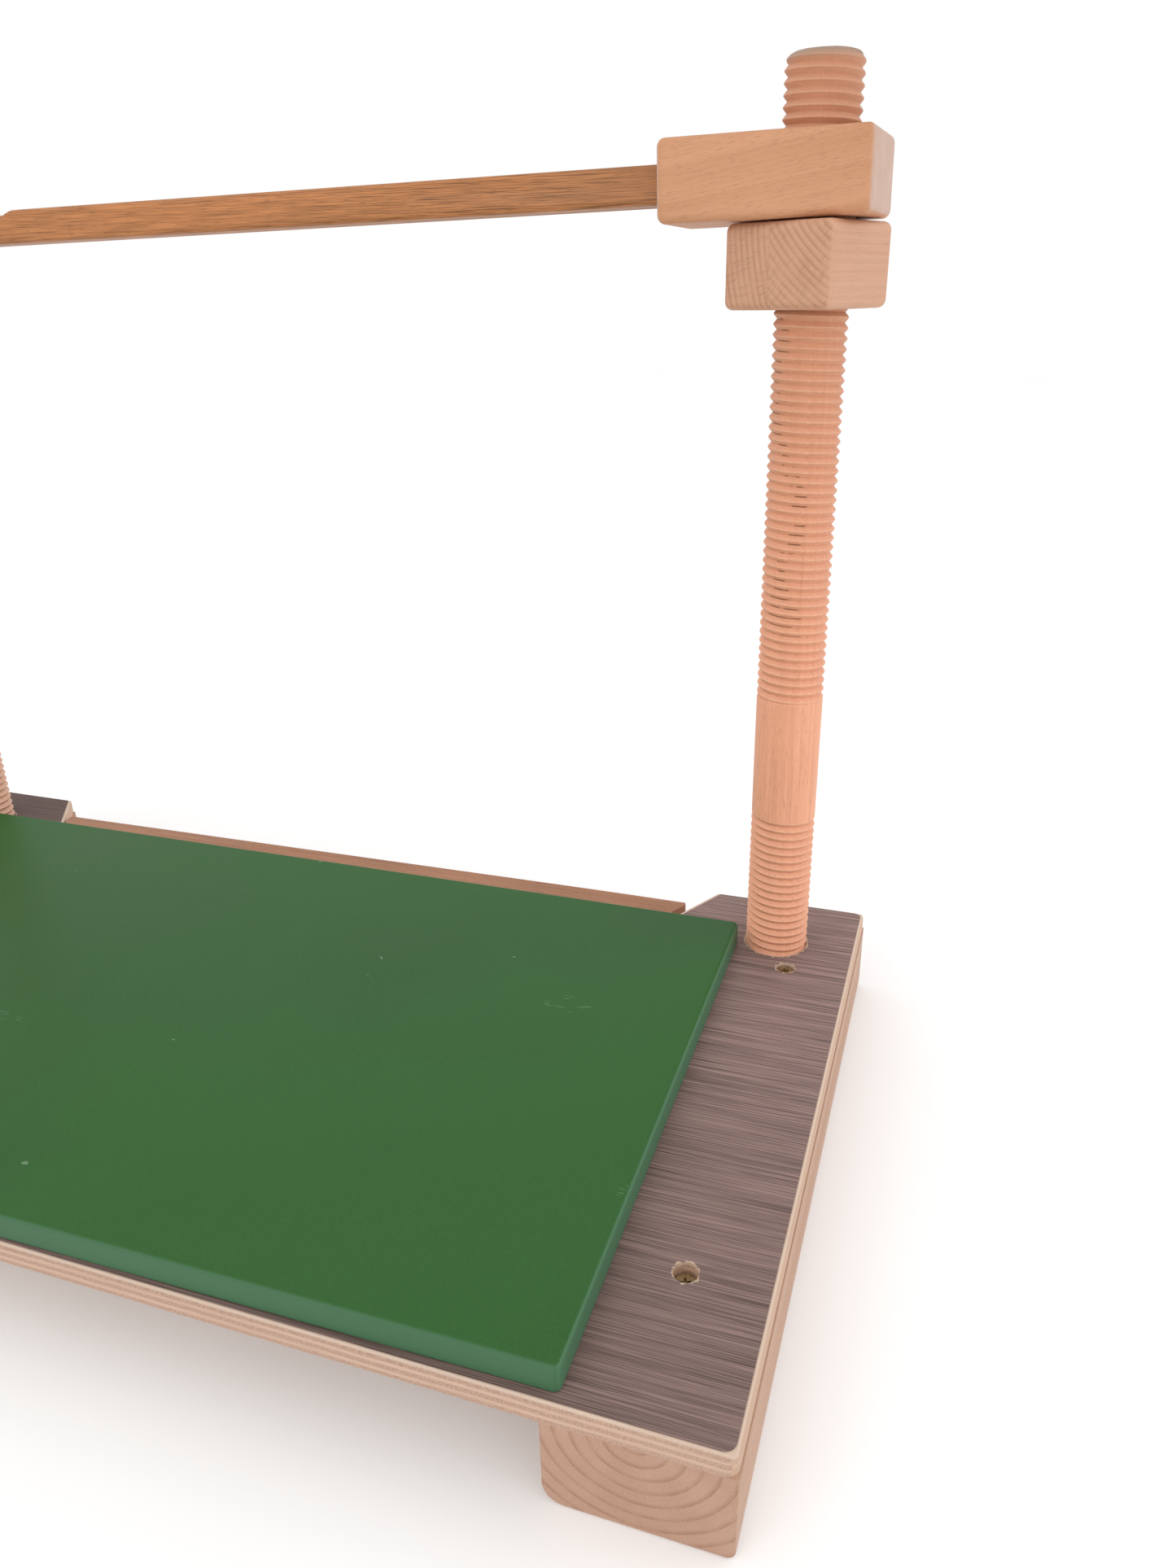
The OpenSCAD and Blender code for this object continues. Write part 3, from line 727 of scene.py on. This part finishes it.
def make_arm(side):
    """An arm: a block with a skewed outer end, bored for the post."""
    s = bpy.context.scene.sewing_frame_sizes
    low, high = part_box("arm_right")
    here = POST["right"]
    half_depth = (high.y - low.y) / 2
    mid_z = bar_line_height()
    arm = block(side + "_arm", (here.x - ARM_INNER_REACH, here.y - half_depth, mid_z - ARM_HALF_HEIGHT),
                (here.x + ARM_OUTER_REACH, here.y + half_depth, mid_z + ARM_HALF_HEIGHT))
    mesh = edit(arm, "VERT")
    for v in mesh.verts:
        v.select = v.co.x > here.x and v.co.y > here.y
    bmesh.update_edit_mesh(arm.data)
    bpy.ops.transform.translate(value=(ARM_SKEW, 0, 0))
    done(arm)
    round_edges(arm, lambda a, b: True, s.arris, 6)
    cut(arm, rod("bore", (here.x, here.y, mid_z - ARM_DRILL / 2), POST_R + ARM_ROOM, ARM_DRILL, POST_SIDES))
    turned(arm, -SLANT, (here.x, here.y, mid_z), "Y")
    if side == "left":
        arm.data.transform(Matrix.Diagonal((-1, 1, 1, 1)))
        arm.data.flip_normals()
        turned(arm, -2 * SLANT, (POST["left"].x, here.y, mid_z), "Y")
        arm.data.transform(Matrix.Translation((0, 0, middle("arm_left").z - mesh_centre(arm).z)))
    smooth(arm)
    return arm


def mesh_centre(obj):
    """Centre of the box round a mesh."""
    co = [v.co for v in obj.data.vertices]
    return Vector([(min(c[i] for c in co) + max(c[i] for c in co)) / 2 for i in range(3)])


def make_nut(side):
    """A square nut, bored off its middle, in two glued pieces."""
    s = bpy.context.scene.sewing_frame_sizes
    low, high = shared_box("nut_%s_narrow" % side, "nut_%s_wide" % side)
    here = POST[side]
    turn = s.nut_right_turn if side == "right" else s.nut_left_turn
    half = s.nut_side / 2
    x0, x1 = here.x - half - s.nut_offset, here.x + half - s.nut_offset
    whole = block("nut", (x0, here.y - half, low.z), (x1, here.y + half, high.z))
    round_edges(whole, lambda a, b: True, s.arris, 6)
    past = 10 * MM
    cut(whole, rod("bore", (here.x, here.y, low.z - past), POST_R + NUT_ROOM, high.z - low.z + 2 * past,
                   POST_SIDES))
    pieces = {}
    for name, keep, normal in (("narrow", -1, (1, 0, 0)), ("wide", 1, (-1, 0, 0))):
        piece = copy_of(whole, "%s_nut_%s_piece" % (side, name))
        edit(piece, "VERT")
        bpy.ops.mesh.select_all(action="SELECT")
        seam = (here.x - s.glue_line + keep * GLUE_GAP, 0, 0)
        bpy.ops.mesh.bisect(plane_co=seam, plane_no=normal, clear_outer=True, use_fill=True)
        done(piece)
        turned(piece, turn, here)
        pieces[name] = smooth(piece)
    bpy.data.objects.remove(whole, do_unlink=True)
    return pieces


def make_crossbar():
    """The crossbar: a rounded bar with a dip worn in its top near the left."""
    low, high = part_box("crossbar")
    here = POST["right"]
    mid_z = bar_line_height()
    span = (here.x - POST["left"].x) / cos(SLANT)
    half_depth = (high.y - low.y) / 2
    bar = block("bar_between_arms", (here.x - span + BAR_END, here.y - half_depth, mid_z - BAR_HALF_HEIGHT),
                (here.x - BAR_END, here.y + half_depth, mid_z + BAR_HALF_HEIGHT))
    dip = here.x - span + DIP_FROM_POST
    steps = range(-6, 7)
    edit(bar, "FACE")
    for i in steps:
        bpy.ops.mesh.select_all(action="SELECT")
        bpy.ops.mesh.bisect(plane_co=(dip + i * DIP_STEP, 0, 0), plane_no=(1, 0, 0))
    for i in steps:
        mesh = edit(done(bar), "VERT")
        for v in mesh.verts:
            v.select = v.co.z > mid_z and abs(v.co.x - dip - i * DIP_STEP) < 0.1 * MM
        bmesh.update_edit_mesh(bar.data)
        part_way = min(1.0, max(0.0, abs(i) - 1) / 4.5)
        bpy.ops.transform.translate(value=(0, 0, -DIP_DEPTH * (1 + cos(pi * part_way)) / 2))
    done(bar)
    round_edges(bar, lambda a, b: abs(a.x - b.x) > 1 * MM and abs(a.y - b.y) < SAME, BAR_ROUNDING, 5)
    turned(bar, -SLANT, (here.x, here.y, mid_z), "Y")
    return smooth(bar, 40)


def make_board():
    """The sewing board, lying slightly turned, its left back corner a little out of square."""
    s = bpy.context.scene.sewing_frame_sizes
    low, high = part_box("sewing_board")
    corner = Vector((*BOARD_CORNER, low.z))
    board = block("green_sewing_board", (corner.x - BOARD_LENGTH, corner.y - BOARD_DEPTH, low.z),
                  (corner.x, corner.y, high.z))
    mesh = edit(board, "VERT")
    for v in mesh.verts:
        v.select = v.co.x < corner.x - BOARD_LENGTH / 2 and v.co.y > corner.y - BOARD_DEPTH / 2
    bmesh.update_edit_mesh(board.data)
    bpy.ops.transform.translate(value=(0, BOARD_OUT_OF_SQUARE, 0))
    done(board)
    round_edges(board, lambda a, b: abs(a.z - b.z) > 1 * MM, BOARD_CORNERS, 4)
    round_edges(board, lambda a, b: min(a.z, b.z) > high.z - SAME, s.board_arris, 5)
    round_edges(board, lambda a, b: max(a.z, b.z) < low.z + SAME, BOARD_UNDER_EDGES, 3)
    turned(board, s.board_turn, corner)
    return smooth(board)


def make_foot(side):
    """A foot: a batten with rounded edges, bored for its post."""
    low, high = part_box("foot_" + side)
    if side == "right":
        high.x -= FOOT_PROUD
        inner, outer = low.x, high.x
    else:
        low.x += FOOT_PROUD
        inner, outer = high.x, low.x
    foot = block(side + "_foot_batten", low, high)

    def long_edge(x, z):
        return lambda a, b: all(abs(v.x - x) < SAME and abs(v.z - z) < SAME for v in (a, b))

    round_edges(foot, long_edge(inner, low.z), FOOT_INNER_EDGE, 10)
    round_edges(foot, long_edge(outer, low.z), FOOT_OUTER_EDGE, 6)
    round_edges(foot, lambda a, b: abs(a.y - b.y) < SAME and min(a.z, b.z) < high.z - SAME, FOOT_ENDS, 3)
    below_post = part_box("post_" + side)[0].z - POST_UNDER_GAP
    cut(foot, rod("bore", (POST[side].x, POST[side].y, below_post), POST_R + FOOT_ROOM, 0.1, POST_SIDES))
    return smooth(foot)


# ---- Operators ----

class PieceOperator:
    """Shared settings of the operators."""

    bl_options = {"REGISTER", "UNDO"}


class SEWING_OT_posts(PieceOperator, bpy.types.Operator):
    """Model both posts, with their left-hand threads"""

    bl_idname = "sewing_frame.posts"
    bl_label = "Posts"

    def execute(self, context):
        for side in ("right", "left"):
            make_post(side)
        return {"FINISHED"}


class SEWING_OT_arms(PieceOperator, bpy.types.Operator):
    """Model the two arms that hold the crossbar"""

    bl_idname = "sewing_frame.arms"
    bl_label = "Arms"

    def execute(self, context):
        for side in ("right", "left"):
            arm = make_arm(side)
            heart = middle("arm_" + side) + Vector((0, -0.02, -0.12))
            # The pale grey end tone of the arms is partly the end grain's own tone and partly painted
            # reflection.
            skin = wood("beech_arm_" + side, "X", heart, (0.6, 0.3, 0.165), (0.47, 0.215, 0.105),
                        ring=13 * MM, side_rings=0.4, late_from=0.0, fleck=0.32, fleck_size=0.8,
                        streak=0.2, tilt=(0, radians(-9), 0), end_tone=(0.56, 0.4, 0.33),
                        end_amount=0.8, tone=0.25)
            hand_over(arm, "crossbar_body", skin, "arm_beech", "arm_" + side)
        return {"FINISHED"}


class SEWING_OT_crossbar(PieceOperator, bpy.types.Operator):
    """Model the crossbar"""

    bl_idname = "sewing_frame.crossbar"
    bl_label = "Crossbar"

    def execute(self, context):
        c = context.scene.sewing_frame_colours
        bar = make_crossbar()
        skin = wood("bar_hardwood", "X", middle("crossbar") + Vector((0, 0.02, -0.05)), tuple(c.bar),
                    shade(c.bar, 0.66), ring=2.6 * MM, side_rings=0.5, fleck=0.45, fleck_size=1.3,
                    streak=1.0, streak_depth=0.4, streak_size=0.5, end_tone=(0.3, 0.15, 0.08),
                    tone=0.3, rough=0.5, add=bar_stain)
        hand_over(bar, "crossbar_body", skin, "bar_wood", "crossbar")
        return {"FINISHED"}


class SEWING_OT_nuts(PieceOperator, bpy.types.Operator):
    """Model the square nuts, each glued up from two pieces"""

    bl_idname = "sewing_frame.nuts"
    bl_label = "Nuts"

    def execute(self, context):
        s = context.scene.sewing_frame_sizes
        for side in ("right", "left"):
            turn = s.nut_right_turn if side == "right" else s.nut_left_turn
            hearts = {"narrow": Vector((0.14, 0, 0.03)), "wide": Vector((0.07, 0, 0.07))}
            for kind, piece in make_nut(side).items():
                node = "nut_%s_%s" % (side, kind)
                heart = POST[side] + Matrix.Rotation(turn, 3, "Z") @ hearts[kind]
                heart.z += middle(node).z - POST[side].z
                skin = wood("beech_" + node, "Y", heart, (0.62, 0.345, 0.22), (0.4, 0.185, 0.1),
                            ring=2.8 * MM, side_rings=0.15, end_rings=0.95, late_from=0.35,
                            fleck=0.12, streak=0.12, tilt=(0, 0, turn), end_tone=(0.52, 0.28, 0.175),
                            end_amount=0.3, rays=0.22, tone=0.15)
                hand_over(piece, "nut_" + side, skin, "nut_beech", node)
        return {"FINISHED"}


class SEWING_OT_board(PieceOperator, bpy.types.Operator):
    """Model the green sewing board"""

    bl_idname = "sewing_frame.board"
    bl_label = "Sewing board"

    def execute(self, context):
        hand_over(make_board(), "board_body", green_coat(), "green_board", "sewing_board")
        return {"FINISHED"}


class SEWING_OT_base(PieceOperator, bpy.types.Operator):
    """Finish the plywood base, its film and its feet"""

    bl_idname = "sewing_frame.base"
    bl_label = "Base and feet"

    def execute(self, context):
        dress("base_board", ply_edge())
        dress("base_film", printed_film())
        for side in ("right", "left"):
            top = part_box("foot_" + side)[1].z
            heart = Vector((middle("foot_" + side).x - 2 * MM, 0, top + 5 * MM))
            skin = wood("beech_foot_" + side, "Y", heart, (0.54, 0.335, 0.235), (0.34, 0.18, 0.105),
                        ring=5.6 * MM, side_rings=0.3, end_rings=0.95, late_from=0.6, fleck=0.25,
                        streak=0.25, end_tone=(0.36, 0.2, 0.145), end_amount=0.25, rays=0.1)
            hand_over(make_foot(side), "base", skin, "foot_beech", "foot_" + side)
        return {"FINISHED"}


class SEWING_OT_strip(PieceOperator, bpy.types.Operator):
    """Finish the slot strip and its dowels"""

    bl_idname = "sewing_frame.strip"
    bl_label = "Slot strip"

    def execute(self, context):
        c = context.scene.sewing_frame_colours
        skin = wood("beech_strip", "X", middle("slot_strip") + Vector((0, 0.03, -0.06)), tuple(c.strip),
                    shade(c.strip, 0.66), ring=5 * MM, side_rings=0.4, fleck=0.5, streak=0.6)
        dress("slot_strip", skin)
        pale = wood("dowel_rod", "Y", middle("strip_dowels"), (0.66, 0.42, 0.27), (0.5, 0.3, 0.17),
                    ring=2 * MM)
        dress("strip_dowels", pale)
        return {"FINISHED"}


class SEWING_OT_screws(PieceOperator, bpy.types.Operator):
    """Finish the screws that hold the feet"""

    bl_idname = "sewing_frame.screws"
    bl_label = "Screws"

    def execute(self, context):
        plate = zinc_plate()
        for side in ("right", "left"):
            dress("screws_" + side, plate)
        return {"FINISHED"}


class SEWING_OT_stage(PieceOperator, bpy.types.Operator):
    """Set up the camera, the pale floor and the soft studio light"""

    bl_idname = "sewing_frame.stage"
    bl_label = "Stage"

    def execute(self, context):
        yaw, pitch, roll = CAMERA_YAW, CAMERA_PITCH, CAMERA_ROLL
        forward = Vector((-sin(yaw) * cos(pitch), cos(yaw) * cos(pitch), -sin(pitch)))
        right = Vector((cos(yaw), sin(yaw), 0))
        up = right.cross(forward)
        across = cos(roll) * right + sin(roll) * up
        upward = -sin(roll) * right + cos(roll) * up
        lens = bpy.data.cameras.new("camera")
        lens.sensor_fit = "VERTICAL"
        lens.sensor_height = 36
        lens.lens = CAMERA_LENS
        lens.clip_start = 0.01
        lens.clip_end = 50
        camera = bpy.data.objects.new("camera", lens)
        turn = Matrix((across, upward, -forward)).transposed().to_4x4()
        camera.matrix_world = Matrix.Translation(CAMERA_PLACE) @ turn
        context.scene.collection.objects.link(camera)
        context.scene.camera = camera

        deselect()
        bpy.ops.mesh.primitive_plane_add(size=60, location=(0, 0, -0.0002))
        floor = context.object
        floor.name = "floor"
        f = Finish("floor_paper")
        tone = f.fade(f.noise(f.place, 3.0, 2.0), 0.3, 0.7)
        f.finish(f.blend(tone, (0.9, 0.9, 0.9), (0.92, 0.92, 0.92)), 0.9, specular=0.0)
        f.skin.inputs["Emission Color"].default_value = (1, 1, 1, 1)
        f.skin.inputs["Emission Strength"].default_value = 0.09
        floor.data.materials.append(f.material)

        world = bpy.data.worlds.new("studio")
        world.use_nodes = True
        world.node_tree.nodes["Background"].inputs["Color"].default_value = (1, 1, 1, 1)
        world.node_tree.nodes["Background"].inputs["Strength"].default_value = 1.0
        context.scene.world = world
        context.scene.view_settings.view_transform = "Standard"
        for name, place, size, power, colour in LAMPS:
            lamp = bpy.data.lights.new(name, "AREA")
            lamp.size = size
            lamp.energy = power
            lamp.color = colour
            obj = bpy.data.objects.new(name, lamp)
            aim = (Vector((0.1, 0, 0.2)) - Vector(place)).to_track_quat("-Z", "Y")
            obj.matrix_world = Matrix.Translation(place) @ aim.to_matrix().to_4x4()
            context.scene.collection.objects.link(obj)
        return {"FINISHED"}


STEPS = (SEWING_OT_stage, SEWING_OT_base, SEWING_OT_screws, SEWING_OT_posts, SEWING_OT_arms,
         SEWING_OT_crossbar, SEWING_OT_nuts, SEWING_OT_board, SEWING_OT_strip)


class SEWING_PT_panel(bpy.types.Panel):
    """Sidebar panel with every step"""

    bl_idname = "SEWING_PT_panel"
    bl_label = "Sewing frame"
    bl_space_type = "VIEW_3D"
    bl_region_type = "UI"
    bl_category = "Sewing frame"

    def draw(self, context):
        for step in STEPS:
            self.layout.operator(step.bl_idname)
        for group in (context.scene.sewing_frame_sizes, context.scene.sewing_frame_colours):
            box = self.layout.box()
            for key in group.bl_rna.properties.keys():
                if key not in ("rna_type", "name"):
                    box.prop(group, key)


CLASSES = (SewingFrameSizes, SewingFrameColours, *STEPS, SEWING_PT_panel)


def register():
    for cls in CLASSES:
        bpy.utils.register_class(cls)
    bpy.types.Scene.sewing_frame_sizes = bpy.props.PointerProperty(type=SewingFrameSizes)
    bpy.types.Scene.sewing_frame_colours = bpy.props.PointerProperty(type=SewingFrameColours)


def unregister():
    del bpy.types.Scene.sewing_frame_sizes
    del bpy.types.Scene.sewing_frame_colours
    for cls in reversed(CLASSES):
        bpy.utils.unregister_class(cls)


def main():
    register()
    bpy.ops.sewing_frame.stage()
    bpy.ops.sewing_frame.base()
    bpy.ops.sewing_frame.screws()
    bpy.ops.sewing_frame.posts()
    bpy.ops.sewing_frame.arms()
    bpy.ops.sewing_frame.crossbar()
    bpy.ops.sewing_frame.nuts()
    bpy.ops.sewing_frame.board()
    bpy.ops.sewing_frame.strip()


if __name__ == "__main__":
    main()
